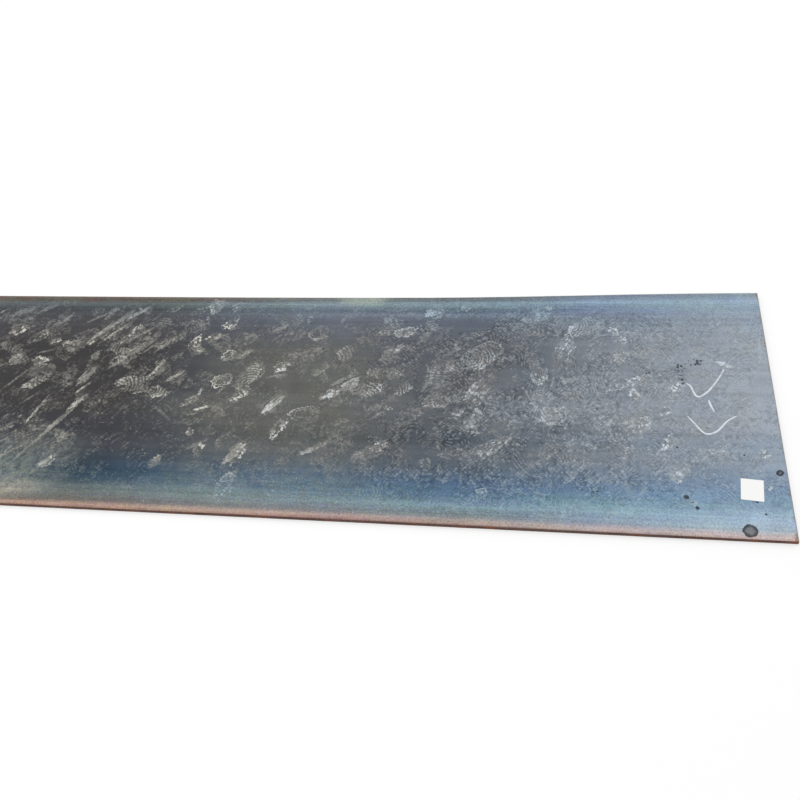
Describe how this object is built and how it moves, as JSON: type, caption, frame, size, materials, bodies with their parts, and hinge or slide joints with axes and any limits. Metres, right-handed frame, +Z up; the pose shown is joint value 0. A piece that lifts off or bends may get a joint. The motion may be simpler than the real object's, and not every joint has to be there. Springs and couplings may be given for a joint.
{
  "type": "steel plate",
  "caption": "Flat hot-rolled steel plate with rounded mill edges along both sides, sheared ends and a blank paper stock label on its top face",
  "frame": {"origin": "middle of the underside, on the surface that the plate lies on", "axes": "+X along the plate's length, towards the labelled end; +Y across it, away from the labelled edge; +Z up through the thickness"},
  "size_m": [6, 1.5, 0.0253],
  "materials": {
    "mill_scale": "satin",
    "label_paper": "matte"
  },
  "bodies": {
    "root": {"steel_plate": "mill_scale", "stock_label": "label_paper"}
  },
  "joints": []
}
